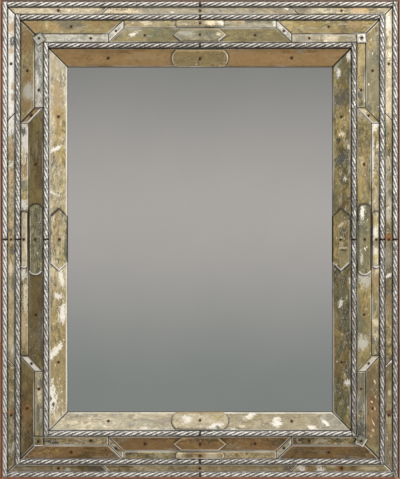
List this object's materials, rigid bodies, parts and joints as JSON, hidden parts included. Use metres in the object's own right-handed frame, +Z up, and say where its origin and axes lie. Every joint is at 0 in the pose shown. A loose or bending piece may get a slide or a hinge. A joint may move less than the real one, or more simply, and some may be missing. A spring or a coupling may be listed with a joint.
{
  "type": "wall mirror",
  "caption": "Upright wall mirror: a wooden frame faced with nailed strips of old foxed mirror glass, with rings of twisted glass rope between the bands and a plain silvered plate",
  "frame": {"origin": "middle of the back of the frame, on the plane of the wall", "axes": "+X to the right as seen from the front, +Z up, the front faces -Y and the wall is +Y"},
  "size_m": [0.8, 0.0455, 0.96],
  "materials": {
    "frame_wood": "red-brown stained softwood, worn and dull",
    "board_wood": "plain unstained thin boarding, aged",
    "silvered_glass": "old mirror glass, silvery to cream, mottled and worn",
    "foxed_glass": "old mirror glass with brown and gold foxing",
    "cover_glass": "old mirror glass, cut and ground at its edges",
    "rope_glass": "clear twisted glass rod, polished",
    "mirror_silver": "plain silvered mirror, clean",
    "rusty_iron": "small iron nails, brown with rust",
    "screw_steel": "plain steel screws",
    "hanger_steel": "plain steel keyhole plates"
  },
  "bodies": {
    "root": {"top_rail": "frame_wood", "top_outer_strips": "silvered_glass", "top_wide_corner_strips": "foxed_glass", "top_narrow_corner_strips": "silvered_glass", "top_diagonal_strips": "silvered_glass", "top_narrow_centre_strip": "silvered_glass", "top_wide_centre_strip": "foxed_glass", "top_inner_strip": "foxed_glass", "top_cover_plates": "cover_glass", "top_outer_rope": "rope_glass", "top_middle_rope": "rope_glass", "top_inner_rope": "rope_glass", "right_rail": "frame_wood", "right_outer_strips": "silvered_glass", "right_wide_corner_strips": "foxed_glass", "right_narrow_corner_strips": "silvered_glass", "right_diagonal_strips": "silvered_glass", "right_narrow_centre_strip": "silvered_glass", "right_wide_centre_strip": "foxed_glass", "right_inner_strip": "foxed_glass", "right_cover_plates": "cover_glass", "right_outer_rope": "rope_glass", "right_middle_rope": "rope_glass", "right_inner_rope": "rope_glass", "bottom_rail": "frame_wood", "bottom_outer_strips": "silvered_glass", "bottom_wide_corner_strips": "foxed_glass", "bottom_narrow_corner_strips": "silvered_glass", "bottom_diagonal_strips": "silvered_glass", "bottom_narrow_centre_strip": "silvered_glass", "bottom_wide_centre_strip": "foxed_glass", "bottom_inner_strip": "foxed_glass", "bottom_cover_plates": "cover_glass", "bottom_outer_rope": "rope_glass", "bottom_middle_rope": "rope_glass", "bottom_inner_rope": "rope_glass", "left_rail": "frame_wood", "left_outer_strips": "silvered_glass", "left_wide_corner_strips": "foxed_glass", "left_narrow_corner_strips": "silvered_glass", "left_diagonal_strips": "silvered_glass", "left_narrow_centre_strip": "silvered_glass", "left_wide_centre_strip": "foxed_glass", "left_inner_strip": "foxed_glass", "left_cover_plates": "cover_glass", "left_outer_rope": "rope_glass", "left_middle_rope": "rope_glass", "left_inner_rope": "rope_glass", "mitre_splines": "frame_wood", "corner_squares": "cover_glass", "strip_nails": "rusty_iron", "rope_nails": "rusty_iron", "mirror_plate": "mirror_silver", "back_board": "board_wood", "board_screws": "screw_steel", "hanger_plates": "hanger_steel", "hanger_screws": "screw_steel"}
  },
  "joints": []
}
